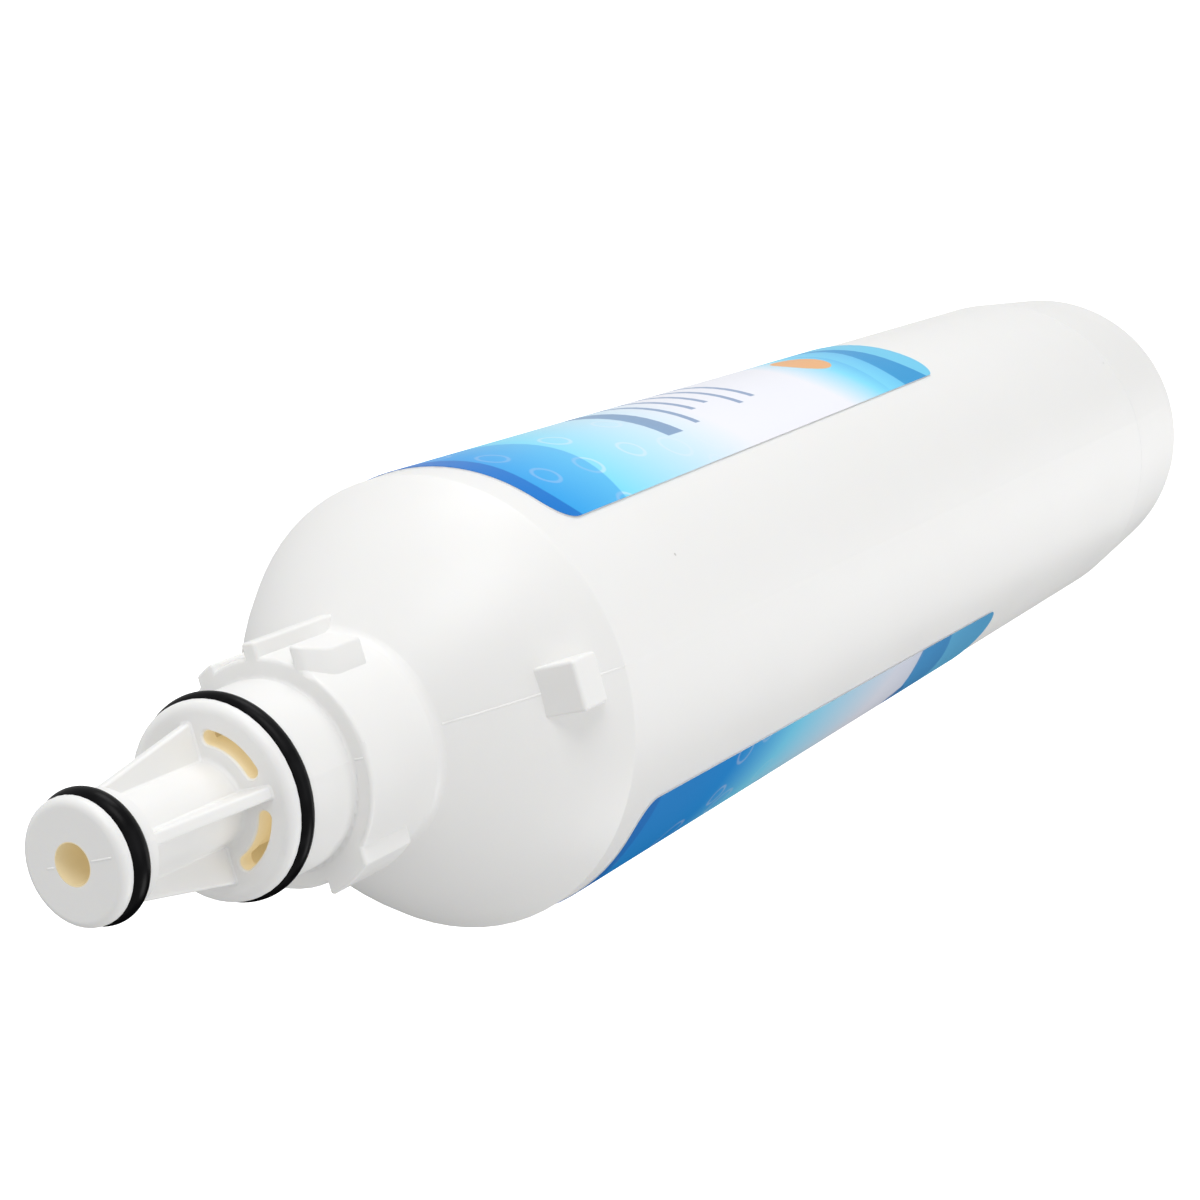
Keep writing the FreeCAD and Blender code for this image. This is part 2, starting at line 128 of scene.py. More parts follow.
class CartridgeColours(bpy.types.PropertyGroup):
    """Colours of the moulded, rubber and printed surfaces."""
    plastic_light: tint("Plastic light", "White plastic where it is clearest", 0.872, 0.871, 0.862)
    plastic_dull: tint(
        "Plastic dull", "White plastic where the melt is a little denser", 0.850, 0.847, 0.834)
    # Painted highlight: whiter tone for the thin flash where it catches the light; also the pale side of
    # the adhesive.
    pale_glue_and_flash_highlight: tint("Plastic flash", "Trimmed flash of the parting plane", 0.98, 0.98, 0.97)
    # Painted light: a tan that stands in for light filtered through the wall into the bore and the slots.
    painted_inside_light: tint(
        "Plastic inside", "Plastic deep inside the bore and the inlet slots", 0.72, 0.63, 0.44)
    plastic_glow: tint(
        "Plastic glow", "Light that seeps through the wall into the inside", 0.14, 0.118, 0.068)
    speck: tint("Speck", "Dark specks in the melt", 0.22, 0.20, 0.18)
    rubber: tint("Rubber", "Black sealing rings", 0.0035, 0.0035, 0.004)
    rubber_bloom: tint("Rubber bloom", "Dull bloom on the rubber", 0.008, 0.008, 0.009)
    print_deep: tint("Print deep", "Deepest blue of the label", 0.0, 0.13, 0.54)
    print_azure: tint("Print azure", "Azure of the label's ends", 0.002, 0.31, 0.80)
    print_sky: tint("Print sky", "Sky blue between azure and pale", 0.22, 0.72, 0.94)
    print_sea: tint("Print sea", "Sea blue of the lower swell", 0.01, 0.28, 0.62)
    print_pale: tint("Print pale", "Pale lilac middle of the label", 0.86, 0.87, 0.93)
    # Partly painted shade: slate blue that darkens the label's side turned from the light; also the tone of
    # the small spots.
    print_dusk: tint("Print dusk", "Slate blue of the label's dusky side", 0.045, 0.18, 0.47)
    print_orange: tint("Print orange", "Warm accent of the label", 0.84, 0.44, 0.19)
    print_bar: tint("Print bar", "Blue grey of the plain bars", 0.10, 0.22, 0.44)
    film_edge: tint("Film edge", "Cut edge of the clear film", 0.82, 0.86, 0.90)
    carbon: tint("Carbon", "Pressed carbon", 0.012, 0.012, 0.013)
    carbon_grain: tint("Carbon grain", "Lighter grains in the carbon", 0.05, 0.05, 0.052)
    fleece: tint("Fleece", "Fleece sleeve", 0.80, 0.80, 0.77)
    fleece_shade: tint("Fleece shade", "Hollows between the fleece's fibres", 0.58, 0.58, 0.55)
    inner_plastic: tint("Inner plastic", "Discs of the filter pack", 0.80, 0.79, 0.75)
    inner_plastic_dull: tint("Inner plastic dull", "Discs where they are denser", 0.74, 0.73, 0.69)
    floor: tint("Floor", "Pale studio floor", 0.80, 0.80, 0.80)


class StudioSettings(bpy.types.PropertyGroup):
    """Camera and light of the studio."""
    camera_place: bpy.props.FloatVectorProperty(
        name="Camera place", description="Where the camera stands",
        default=(0.19659, 0.03466, 0.51391), subtype="TRANSLATION", unit="LENGTH")
    camera_turn: bpy.props.FloatVectorProperty(
        name="Camera turn", description="Euler angles of the camera", subtype="EULER",
        default=(math.radians(-14.1944), math.radians(30.0970), math.radians(-18.0104)))
    camera_lens: bpy.props.FloatProperty(
        name="Lens", description="Focal length in millimetres", default=69.94, unit="CAMERA")
    top_power: lamp_power("Top power", "Power of the soft lamp above the picture", 2.9)
    front_power: lamp_power("Front power", "Power of the soft lamp above the camera", 2.9)
    side_power: lamp_power("Side power", "Power of the soft lamp right of the camera", 0.8)
    low_power: lamp_power("Low power", "Power of the soft lamp at the lower right", 2.6)
    left_power: lamp_power("Left power", "Power of the soft lamp at the left", 0.7)
    back_power: lamp_power("Back power", "Power of the soft lamp behind and to the right", 1.0)
    back_depth: amount("Back depth", "How far behind its side the back lamp stands", 0.8)
    lamp_size: studio_length("Lamp size", "Side of each soft lamp", 0.5)
    lamp_distance: studio_length("Lamp distance", "Distance of the lamps from the cartridge", 1.0)
    lamp_aim: studio_length("Lamp aim", "Height on the cartridge that the lamps face", 0.2)
    sky_strength: amount("Sky strength", "Light from all around", 0.6)
    floor_glow: amount("Floor glow", "Light of the translucent studio table", 1.0)
    floor_radius: studio_length("Floor radius", "Radius of the studio table", 40.0)
    flag_distance: studio_length("Flag distance", "How far behind and below the black flag stands", 1.5)
    flag_width: studio_length("Flag width", "Width of the black flag across the picture", 4.0)


class Value:
    """An output of a material's nodes; arithmetic on it adds Math nodes."""

    def __init__(self, finish, socket):
        self.finish = finish
        self.socket = socket

    def __add__(self, other):
        return self.finish.math("ADD", self, other)

    def __radd__(self, other):
        return self.finish.math("ADD", other, self)

    def __sub__(self, other):
        return self.finish.math("SUBTRACT", self, other)

    def __rsub__(self, other):
        return self.finish.math("SUBTRACT", other, self)

    def __mul__(self, other):
        return self.finish.math("MULTIPLY", self, other)

    def __rmul__(self, other):
        return self.finish.math("MULTIPLY", other, self)

    def __truediv__(self, other):
        return self.finish.math("DIVIDE", self, other)

    def __abs__(self):
        return self.finish.math("ABSOLUTE", self)


class Finish:
    """A material under construction, ending in its Principled shader."""

    def __init__(self, name):
        self.material = bpy.data.materials.new(name)
        self.material.use_nodes = True
        self.tree = self.material.node_tree
        self.shader = self.tree.nodes["Principled BSDF"]
        coordinates = self.node("ShaderNodeTexCoord")
        self.place = Value(self, coordinates.outputs["Object"])

    def feed(self, socket, value):
        """Gives a socket a constant or a link."""
        if isinstance(value, Value):
            self.tree.links.new(value.socket, socket)
        else:
            socket.default_value = value

    def node(self, kind, settings=None, sockets=None):
        """Adds a node: its settings first, then the values or links of its sockets."""
        node = self.tree.nodes.new(kind)
        for key, value in (settings or {}).items():
            if key == "stops":
                self.set_stops(node.color_ramp.elements, value)
            else:
                setattr(node, key, value)
        for key, value in (sockets or {}).items():
            self.feed(node.inputs[key], value)
        return node

    @staticmethod
    def set_stops(elements, stops):
        """Places the stops of a colour ramp."""
        while len(elements) < len(stops):
            elements.new(1.0)
        for element, (position, colour) in zip(elements, stops):
            element.position = position
            element.color = colour

    def math(self, operation, *values):
        """One Math node."""
        node = self.node("ShaderNodeMath", {"operation": operation}, dict(enumerate(values)))
        return Value(self, node.outputs[0])

    def sine(self, value):
        return self.math("SINE", value)

    def distance(self, across, along):
        """Length of a flat vector."""
        return self.math("SQRT", across * across + along * along)

    def turn(self, x, y):
        """Angle round the cartridge's axis, nought in the middle of its back."""
        return self.math("ARCTAN2", y, 0 - x)

    def axes(self):
        """The three object coordinates in millimetres."""
        node = self.node("ShaderNodeSeparateXYZ", None, {0: self.place})
        return [Value(self, socket) * PER_MM for socket in node.outputs]

    def point(self, across, along):
        """A flat point for a texture."""
        node = self.node("ShaderNodeCombineXYZ", None, {0: across, 1: along})
        return Value(self, node.outputs[0])

    def fade(self, value, low, high):
        """Smooth step from nought at low to one at high."""
        node = self.node(
            "ShaderNodeMapRange", {"interpolation_type": "SMOOTHSTEP"},
            {"Value": value, "From Min": low, "From Max": high})
        return Value(self, node.outputs[0])

    def inside(self, value, edge, soft):
        """One where a value is under an edge, nought beyond it."""
        return 1 - self.fade(value, edge - soft, edge + soft)

    def mix(self, factor, first, second):
        """Blend of two colours."""
        node = self.node("ShaderNodeMix", {"data_type": "RGBA"}, {0: factor, 6: first, 7: second})
        return Value(self, node.outputs[2])

    def ramp(self, factor, stops):
        """Colour along a ramp."""
        node = self.node("ShaderNodeValToRGB", {"stops": stops}, {"Fac": factor})
        return Value(self, node.outputs["Color"])

    def noise(self, scale, detail=2.0, vector=None):
        """Cloudy value around one half, on object coordinates unless a vector is given."""
        node = self.node(
            "ShaderNodeTexNoise", None,
            {"Vector": vector or self.place, "Scale": scale, "Detail": detail})
        return Value(self, node.outputs["Fac"])

    def cells(self, scale, vector=None, dimensions="3D"):
        """Distance to the nearest point of a scatter, and a random number for that point."""
        node = self.node(
            "ShaderNodeTexVoronoi", {"voronoi_dimensions": dimensions},
            {"Vector": vector or self.place, "Scale": scale})
        lot = self.node("ShaderNodeSeparateColor", None, {0: Value(self, node.outputs["Color"])})
        return Value(self, node.outputs["Distance"]), Value(self, lot.outputs[0])

    def bump(self, height, strength, distance):
        """Fine relief of the surface."""
        node = self.node(
            "ShaderNodeBump", None, {"Height": height, "Strength": strength, "Distance": distance})
        self.set("Normal", Value(self, node.outputs["Normal"]))

    def set(self, name, value):
        """Sets a socket of the shader."""
        self.feed(self.shader.inputs[name], value)


def dress(thing, material):
    """Puts one material on an object."""
    thing.data.materials.clear()
    thing.data.materials.append(material)


def dress_nodes(material, *names):
    """Puts one material on nodes of the frame."""
    for name in names:
        dress(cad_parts[name], material)


# Walls round the hollows of the head, and how far down from its faces the hollows are told apart.
BORE_SKIN = 0.1 * MM
PASSAGE_SKIN = 0.5 * MM
COLLAR_WALL = 2.2 * MM
COLLAR_ROOF = 2.8 * MM
SLOT_RIM = 0.25 * MM
SLOT_DEPTH = 12 * MM
HEAD_FADE_LOW = 30 * MM
HEAD_FADE_HIGH = 10 * MM
SPECK_SHARE = 0.4
MOUTH_GLOW = 0.14


def painted_light_masks(finish, sizes, radius, z):
    """Masks of the walls seen only through the bore or the slots, where light through the wall is painted
    in, and of those near the slots, where a painted glow is stronger.
    """
    bore_edge = (sizes.bore_radius + BORE_SKIN) * PER_MM
    passage_edge = (sizes.passage_radius + PASSAGE_SKIN) * PER_MM
    chamber_edge = (sizes.collar_radius - COLLAR_WALL) * PER_MM
    chamber_top = (sizes.collar_front - COLLAR_ROOF) * PER_MM
    slot_top = sizes.flange_face * PER_MM
    slot_rim = (sizes.flange_face - SLOT_RIM) * PER_MM
    slot_foot = (sizes.flange_face - SLOT_DEPTH) * PER_MM
    head_low = (sizes.collar_foot - HEAD_FADE_LOW) * PER_MM
    head_high = (sizes.collar_foot - HEAD_FADE_HIGH) * PER_MM
    bore = finish.inside(radius, bore_edge, soft=0.06)
    passage = finish.inside(radius, passage_edge, soft=0.1) * finish.inside(z, slot_rim, soft=0.2)
    chamber = finish.inside(radius, chamber_edge, soft=0.1) * finish.inside(z, chamber_top, soft=0.1)
    walls = finish.math("MAXIMUM", bore, finish.math("MAXIMUM", passage, chamber))
    head = finish.fade(z, head_low, head_high)
    painted_mouth_glow = passage * finish.fade(z, slot_foot, slot_top)
    return walls * head, painted_mouth_glow


def white_plastic(sizes, colours):
    """Satin white polypropylene: faint clouds and specks, fine grain, and a painted warm tint with an
    emitted glow inside the bore and slots for light that trickles through the wall.
    """
    finish = Finish("white_plastic")
    x, y, z = finish.axes()
    cloud = finish.noise(scale=28.0, detail=3.0)
    outside = finish.mix(cloud, colours.plastic_dull, colours.plastic_light)
    distance, lot = finish.cells(scale=62.0)
    spot = finish.inside(distance, edge=0.016, soft=0.004) * finish.fade(lot, low=0.80, high=0.82)
    outside = finish.mix(spot * SPECK_SHARE, outside, colours.speck)
    painted_inside_mask, painted_mouth_glow = painted_light_masks(finish, sizes, finish.distance(x, y), z)
    # Painted light: the tan inside colour and the emitted glow stand in for light that comes through the
    # translucent wall.
    finish.set("Base Color", finish.mix(painted_inside_mask, outside, colours.painted_inside_light))
    glow = finish.mix(painted_mouth_glow * MOUTH_GLOW, colours.plastic_glow, colours.painted_inside_light)
    finish.set("Emission Color", finish.mix(painted_inside_mask, BLACK, glow))
    finish.set("Emission Strength", 1.0)
    grain = finish.noise(scale=2400.0)
    finish.set("Roughness", 0.34 + 0.10 * finish.noise(scale=70.0) + 0.05 * grain)
    finish.bump(grain, strength=0.10, distance=0.05 * MM)
    finish.set("Subsurface Weight", 0.12)
    finish.set("Subsurface Radius", (1.0, 0.82, 0.55))
    finish.set("Subsurface Scale", 1.6 * MM)
    return finish.material


def flash_plastic(colours):
    """Thin flash of the same plastic, whitened as a painted highlight where its thin ridge catches the
    light.
    """
    finish = Finish("flash_plastic")
    cloud = finish.noise(scale=400.0)
    finish.set("Base Color", finish.mix(cloud, colours.plastic_light, colours.pale_glue_and_flash_highlight))
    finish.set("Roughness", 0.40 + 0.10 * cloud)
    return finish.material


def black_rubber(colours):
    """Moulded black rubber, a little bloomed, with a soft shine."""
    finish = Finish("black_rubber")
    bloom = finish.fade(finish.noise(scale=320.0, detail=3.0), low=0.4, high=0.75)
    finish.set("Base Color", finish.mix(bloom, colours.rubber, colours.rubber_bloom))
    grain = finish.noise(scale=5200.0)
    finish.set("Roughness", 0.26 + 0.12 * bloom + 0.05 * grain)
    finish.set("Specular IOR Level", 0.08)
    finish.bump(grain, strength=0.12, distance=0.02 * MM)
    return finish.material


# Layout of the label in millimetres: along the arc from the middle of the back, and up from its lower edge.
# A share says how much of a tone covers what lies under it.
Wave = namedtuple("Wave", "level swing stretch lag fall")
Drop = namedtuple("Drop", "foot size share tone")
Bars = namedtuple("Bars", "title title_half first rows shift half shorter")
Spot = namedtuple("Spot", "centre radius share tone")

GROUND_SWAY = Wave(level=4.0, swing=4.0, stretch=17.0, lag=0.8, fall=0.16)
GROUND_STOPS = (
    (0.00, "print_azure"),
    (0.10, "print_sky"),
    (0.20, "print_pale"),
    (0.48, "print_pale"),
    (0.78, "print_sky"),
    (0.93, "print_azure"),
    (1.00, "print_azure"),
)
# Each wave with its share and tone; the upper ones count their level from the label's upper edge.
UPPER_WAVES = (
    (Wave(level=-16.0, swing=3.2, stretch=15.0, lag=0.3, fall=0.0), 0.50, "print_azure"),
    (Wave(level=-6.0, swing=2.6, stretch=11.0, lag=1.9, fall=0.0), 0.75, "print_deep"),
)
LOWER_WAVES = (
    (Wave(level=30.0, swing=4.6, stretch=19.0, lag=2.2, fall=0.12), 0.55, "print_sky"),
    (Wave(level=23.0, swing=4.0, stretch=14.0, lag=0.9, fall=0.12), 0.85, "print_sea"),
    (Wave(level=13.0, swing=2.8, stretch=12.0, lag=2.8, fall=0.12), 0.70, "print_sky"),
)
RIPPLE_SWING = 0.4
RIPPLE_STRETCH = 0.43
RIPPLE_LAG = 2.0
WAVE_EDGE = 0.2

BUBBLE_LEAST = 0.10
BUBBLE_SPREAD = 0.22
BUBBLE_SHARE = 0.35
# Dusky side of the label, partly print and partly painted shade.
DUSK_AND_SHADE_MIDDLE = 0.48
DUSK_AND_SHADE_LEAST = 0.3
DUSK_AND_SHADE_SHARE = 0.6

DROPS = (
    Drop(foot=(0.0, 52.0), size=46.0, share=0.85, tone="print_azure"),
    Drop(foot=(0.0, 55.0), size=37.0, share=0.90, tone="print_sky"),
)
DROP_WIDTH = 0.9
BAR_GROUPS = (
    Bars(title=(55.0, 92.0), title_half=(17.0, 2.4),
         first=(57.0, 83.0), rows=5, shift=-1.5, half=14.0, shorter=2.5),
    Bars(title=(-50.0, 84.0), title_half=(15.0, 1.6),
         first=(-51.0, 76.0), rows=4, shift=2.0, half=13.0, shorter=2.0),
)
ROW_PITCH = 6.0
ROW_HALF = 0.8
BAR_EDGE = 0.12
BAR_SHARE = 0.75
WARM_SPOT = Spot(centre=(61.5, 26.0), radius=5.5, share=1.0, tone="print_orange")
SMALL_SPOT = Spot(centre=(-66.0, 34.0), radius=3.0, share=0.8, tone="print_dusk")
SMALL_SPOTS = 3
SMALL_SPOT_PITCH = 9.0
SPOT_EDGE = 0.15
INK_DEPTH = 0.085 * MM


def bar(finish, arc, height, centre, half):
    """Mask of a plain bar on the label, from the half sizes along the arc and the height."""
    across = finish.inside(abs(arc - centre[0]), half[0], BAR_EDGE)
    along = finish.inside(abs(height - centre[1]), half[1], BAR_EDGE)
    return across * along


def bars_of(group):
    """Centres and half sizes of a group of bars: a thick one, and rows of uneven length under it."""
    bars = [(group.title, group.title_half)]
    for row in range(group.rows):
        centre = (group.first[0] + group.shift * (row % 2), group.first[1] - ROW_PITCH * row)
        bars.append((centre, (group.half - group.shorter * (row % 3), ROW_HALF)))
    return bars


def disc(finish, arc, height, centre, radius):
    """Mask of a round spot on the label."""
    return finish.inside(finish.distance(arc - centre[0], height - centre[1]), radius, SPOT_EDGE)


def drop(finish, arc, height, foot, size):
    """Mask of a water drop: round below, drawn to a point above; foot is the lower end of its axis."""
    rise = finish.math("MINIMUM", finish.math("MAXIMUM", (height - foot[1]) / size, 0.0), 1.0)
    half = DROP_WIDTH * size * finish.math("SQRT", rise) * (1 - rise)
    across = finish.inside(abs(arc - foot[0]) - half, 0.0, SPOT_EDGE)
    along = finish.inside(abs(rise - 0.5), edge=0.49, soft=0.01)
    return across * along


def wave_line(finish, arc, wave, base=0.0):
    """Height of a wave line that runs round the label over a base, falling with the arc."""
    small = finish.sine(arc / (RIPPLE_STRETCH * wave.stretch) + RIPPLE_LAG * wave.lag)
    large = finish.sine(arc / wave.stretch + wave.lag)
    level = base + wave.level - wave.fall * arc
    return level + wave.swing * large + RIPPLE_SWING * wave.swing * small


def label_ground(finish, colours, arc, height, span):
    """Colour field of the label: azure ends and a pale lilac middle."""
    sway = wave_line(finish, arc, GROUND_SWAY)
    stops = [(position, getattr(colours, tone)) for position, tone in GROUND_STOPS]
    return finish.ramp((height + sway) / span, stops)


def label_bubbles(finish, colours, colour, arc, height, span):
    """Outlines of bubbles under the waves of the label's upper end."""
    distance, lot = finish.cells(scale=0.105, vector=finish.point(arc, height), dimensions="2D")
    size = BUBBLE_LEAST + BUBBLE_SPREAD * lot
    rim = finish.inside(abs(distance - size), edge=0.03, soft=0.02)
    rise = finish.fade(height, low=0.58 * span, high=0.80 * span) * finish.fade(lot, low=0.35, high=0.45)
    return finish.mix(rim * rise * BUBBLE_SHARE, colour, colours.print_pale)


def label_waves(finish, colours, colour, arc, height, span):
    """Waves over both ends of the label."""
    for wave, share, tone in UPPER_WAVES:
        above = height - wave_line(finish, arc, wave, base=span)
        mask = finish.fade(above, -WAVE_EDGE, WAVE_EDGE) * share
        colour = finish.mix(mask, colour, getattr(colours, tone))
    for wave, share, tone in LOWER_WAVES:
        below = wave_line(finish, arc, wave) - height
        mask = finish.fade(below, -WAVE_EDGE, WAVE_EDGE) * share
        colour = finish.mix(mask, colour, getattr(colours, tone))
    return colour


def label_dusk_and_painted_shade(finish, colours, colour, arc, height, span):
    """Slate tone towards negative arc, deepest at both ends of the label: partly print, partly painted
    shade on the tube's side turned from the light.
    """
    aside = finish.fade(0 - arc, low=40.0, high=84.0)
    ends = finish.fade(abs(height - DUSK_AND_SHADE_MIDDLE * span), low=15.0, high=62.0)
    dusk_and_shade = aside * (DUSK_AND_SHADE_LEAST + (1 - DUSK_AND_SHADE_LEAST) * ends)
    return finish.mix(dusk_and_shade * DUSK_AND_SHADE_SHARE, colour, colours.print_dusk)


def label_motifs(finish, colours, colour, arc, height):
    """Drop on the back, groups of plain bars beside it, a warm spot and three small ones."""
    for piece in DROPS:
        mask = drop(finish, arc, height, piece.foot, piece.size)
        colour = finish.mix(mask * piece.share, colour, getattr(colours, piece.tone))
    mask = 0.0
    for group in BAR_GROUPS:
        for centre, half in bars_of(group):
            mask = mask + bar(finish, arc, height, centre, half)
    colour = finish.mix(mask * BAR_SHARE, colour, colours.print_bar)
    spots = [WARM_SPOT]
    for column in range(SMALL_SPOTS):
        start, level = SMALL_SPOT.centre
        spots.append(SMALL_SPOT._replace(centre=(start + SMALL_SPOT_PITCH * column, level)))
    for spot in spots:
        mask = disc(finish, arc, height, spot.centre, spot.radius)
        colour = finish.mix(mask * spot.share, colour, getattr(colours, spot.tone))
    return colour


def label_print(colours):
    """Printed film: colour field, bubbles, waves, a dusky side that is partly painted shade, and plain
    motifs; the film's cut edge stays pale.
    """
    finish = Finish("label_print")
    x, y, z = finish.axes()
    arc = finish.turn(x, y) * (LABEL_RADIUS * PER_MM)
    height = z - LABEL_BOTTOM * PER_MM
    span = (LABEL_TOP - LABEL_BOTTOM) * PER_MM
    colour = label_ground(finish, colours, arc, height, span)
    for layer in (label_bubbles, label_waves, label_dusk_and_painted_shade):
        colour = layer(finish, colours, colour, arc, height, span)
    colour = label_motifs(finish, colours, colour, arc, height)
    cut = finish.inside(finish.distance(x, y), (LABEL_RADIUS - INK_DEPTH) * PER_MM, soft=0.01)
    finish.set("Base Color", finish.mix(cut, colour, colours.film_edge))
    finish.set("Roughness", 0.28 + 0.06 * finish.noise(scale=180.0))
    finish.set("Specular IOR Level", 0.08)
    finish.bump(finish.noise(scale=90.0), strength=0.03, distance=0.2 * MM)
    return finish.material


def adhesive(colours):
    """Clear adhesive of the label, pale over the white tube."""
    finish = Finish("adhesive")
    cloud = finish.noise(scale=220.0)
    finish.set("Base Color", finish.mix(cloud, colours.film_edge, colours.pale_glue_and_flash_highlight))
    finish.set("Roughness", 0.4 + 0.1 * cloud)
    return finish.material


def carbon(colours):
    """Pressed carbon with grains."""
    finish = Finish("carbon")
    grain = finish.noise(scale=900.0, detail=4.0)
    light = finish.fade(grain, low=0.5, high=0.8)
    finish.set("Base Color", finish.mix(light, colours.carbon, colours.carbon_grain))
    finish.set("Roughness", 0.75 + 0.15 * grain)
    finish.bump(grain, strength=0.5, distance=0.3 * MM)
    return finish.material


FLEECE_RADIUS = 25.0
FIBRE_STRETCH = 0.25


def fleece(colours):
    """Non-woven fleece with a fibrous surface."""
    finish = Finish("fleece")
    x, y, z = finish.axes()
    lie = finish.point(finish.turn(x, y) * FLEECE_RADIUS, z * FIBRE_STRETCH)
    fibre = finish.noise(scale=1.4, detail=4.0, vector=lie)
    finish.set("Base Color", finish.mix(fibre, colours.fleece_shade, colours.fleece))
    finish.set("Roughness", 0.85 + 0.1 * fibre)
    finish.bump(fibre, strength=0.4, distance=0.3 * MM)
    return finish.material


def inner_plastic(colours):
    """Plain natural plastic of the filter pack's discs."""
    finish = Finish("inner_plastic")
    cloud = finish.noise(scale=60.0, detail=3.0)
    finish.set("Base Color", finish.mix(cloud, colours.inner_plastic_dull, colours.inner_plastic))
    finish.set("Roughness", 0.42 + 0.12 * cloud)
    finish.bump(finish.noise(scale=1800.0), strength=0.1, distance=0.05 * MM)
    return finish.material


def new_object(name, shape, material):
    """Makes an object of a bmesh, links it and dresses it."""
    mesh = bpy.data.meshes.new(name)
    shape.to_mesh(mesh)
    shape.free()
    thing = bpy.data.objects.new(name, mesh)
    bpy.context.scene.collection.objects.link(thing)
    dress(thing, material)
    return thing


def new_piece(name, shape, material):
    """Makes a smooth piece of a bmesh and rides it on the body."""
    bmesh.ops.remove_doubles(shape, verts=shape.verts, dist=MERGE_DISTANCE)
    bmesh.ops.recalc_face_normals(shape, faces=shape.faces)
    piece = new_object(name, shape, material)
    piece.data.shade_smooth()
    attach(piece, BODY)


def flash_section(shape, start, slope_down, sizes):
    """Small lens-shaped section at the start of a flash line that runs outwards and down, as one face."""
    made = bmesh.ops.create_circle(shape, cap_ends=True, segments=8, radius=1.0)
    turn = Matrix.Rotation(math.radians(90) + slope_down, 4, "Y")
    lens = Matrix.Diagonal((sizes.flash_rise, sizes.flash_width / 2, 1, 1))
    bmesh.ops.transform(shape, matrix=Matrix.Translation(start) @ turn @ lens, verts=made["verts"])
    return [face for face in shape.faces if face.verts[0] in made["verts"]]


def run_on(shape, faces, step):
    """Draws a section straight on and returns its new end."""
    made = bmesh.ops.extrude_face_region(shape, geom=faces)["geom"]
    ends = [item for item in made if isinstance(item, bmesh.types.BMFace)]
    points = [item for item in made if isinstance(item, bmesh.types.BMVert)]
    bmesh.ops.translate(shape, vec=step, verts=points)
    bmesh.ops.delete(shape, geom=faces, context="FACES")
    return ends


def bend_on(shape, faces, centre, angle, steps):
    """Draws a section round a centre in the parting plane and returns its new end."""
    made = bmesh.ops.spin(
        shape, geom=faces, cent=centre, axis=(0, 1, 0), angle=angle, steps=steps,
        use_merge=False, use_duplicate=False)["geom_last"]
    return [item for item in made if isinstance(item, bmesh.types.BMFace)]


def shoulder_flash(sizes):
    """Flash along the parting plane over the domed shoulder, on both sides."""
    shape = bmesh.new()
    top, edge = sizes.top_slope, sizes.edge_slope
    half_turn = (edge - top) / 2
    leg = (BODY_RADIUS - sizes.collar_radius) / (math.cos(top) + math.cos(edge))
    dome = (leg - sizes.fillet) / math.tan(half_turn)
    down_top = Vector((math.cos(top), 0, -math.sin(top)))
    down_edge = Vector((math.cos(edge), 0, -math.sin(edge)))
    foot = Vector((sizes.collar_radius, 0, sizes.collar_foot))
    middle = (top + edge) / 2
    outward = Vector((math.sin(middle), 0, math.cos(middle)))
    centre = foot + down_top * leg - outward * (dome / math.cos(half_turn))
    faces = flash_section(shape, foot + down_top * sizes.fillet / 2, top, sizes)
    faces = run_on(shape, faces, down_top * sizes.fillet / 2)
    faces = bend_on(shape, faces, centre, 2 * half_turn, steps=12)
    run_on(shape, faces, down_edge * sizes.fillet)
    both = bmesh.ops.duplicate(shape, geom=shape.verts[:] + shape.edges[:] + shape.faces[:])["geom"]
    points = [item for item in both if isinstance(item, bmesh.types.BMVert)]
    bmesh.ops.rotate(shape, cent=(0, 0, 0), matrix=Matrix.Rotation(math.pi, 3, "Z"), verts=points)
    return shape


def face_marks(sizes):
    """Short flash lines on the tip's face either side of the bore, and across the collar's front."""
    shape = bmesh.new()
    short_start = sizes.bore_radius + sizes.short_mark_gap + sizes.short_mark
    collar_room = sizes.collar_radius - sizes.barrel_radius - 2 * sizes.collar_edge
    marks = (
        (sizes.bore_radius + sizes.long_mark_gap, sizes.long_mark, TIP_FACE),
        (-short_start, sizes.short_mark, TIP_FACE),
        (sizes.barrel_radius + sizes.collar_edge, collar_room, sizes.collar_front),
    )
    for start, run, height in marks:
        faces = flash_section(shape, Vector((start, 0, height)), 0.0, sizes)
        run_on(shape, faces, Vector((run, 0, 0)))
    return shape


def label_glue():
    """Layer of adhesive between the tube and the film, as a copy of the film drawn in under it."""
    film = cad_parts["label_film"]
    shape = bmesh.new()
    shape.from_mesh(film.data)
    bmesh.ops.transform(shape, matrix=film.matrix_world, verts=shape.verts)
    bmesh.ops.remove_doubles(shape, verts=shape.verts, dist=MERGE_DISTANCE)
    drawn_in = (FILM_INSIDE + BODY_RADIUS) / (FILM_INSIDE + LABEL_RADIUS)
    bmesh.ops.scale(shape, vec=(drawn_in, drawn_in, 1.0), verts=shape.verts)
    return shape


class CARTRIDGE_OT_plastic(bpy.types.Operator):
    """Finish the housing and the end cap in white plastic"""
    bl_idname = "cartridge.plastic"
    bl_label = "White plastic"

    def execute(self, context):
        scene = context.scene
        material = white_plastic(scene.cartridge_sizes, scene.cartridge_colours)
        dress_nodes(material, "housing", "end_cap")
        return {"FINISHED"}


class CARTRIDGE_OT_moulding_marks(bpy.types.Operator):
    """Add the flash of the mould's parting plane"""
    bl_idname = "cartridge.moulding_marks"
    bl_label = "Moulding marks"

    def execute(self, context):
        sizes = context.scene.cartridge_sizes
        material = flash_plastic(context.scene.cartridge_colours)
        new_piece("shoulder_flash", shoulder_flash(sizes), material)
        new_piece("face_marks", face_marks(sizes), material)
        return {"FINISHED"}


